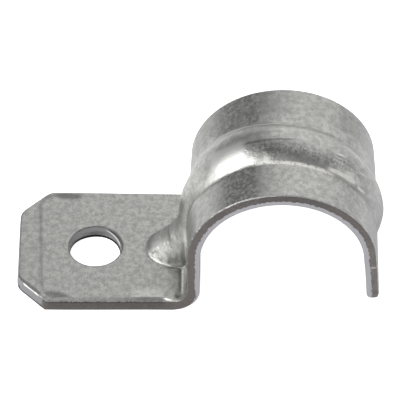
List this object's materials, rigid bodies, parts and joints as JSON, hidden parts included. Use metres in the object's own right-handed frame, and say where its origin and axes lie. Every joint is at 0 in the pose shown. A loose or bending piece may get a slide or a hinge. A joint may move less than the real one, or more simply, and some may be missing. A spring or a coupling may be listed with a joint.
{
  "type": "conduit strap",
  "caption": "Pressed sheet-steel strap that holds a round conduit against a wall: flat screw tab, bend with a domed dart, beaded saddle and a short free leg.",
  "frame": {"origin": "axis of the screw hole, in the mounting plane under the tab", "axes": "+X along the strip from the tab towards the saddle, +Y along the conduit, +Z away from the wall"},
  "size_m": [0.0497, 0.0204, 0.0235],
  "materials": {
    "zinc_sheet": "satin zinc coat, faintly mottled"
  },
  "bodies": {
    "root": {"strap": "zinc_sheet"}
  },
  "joints": []
}
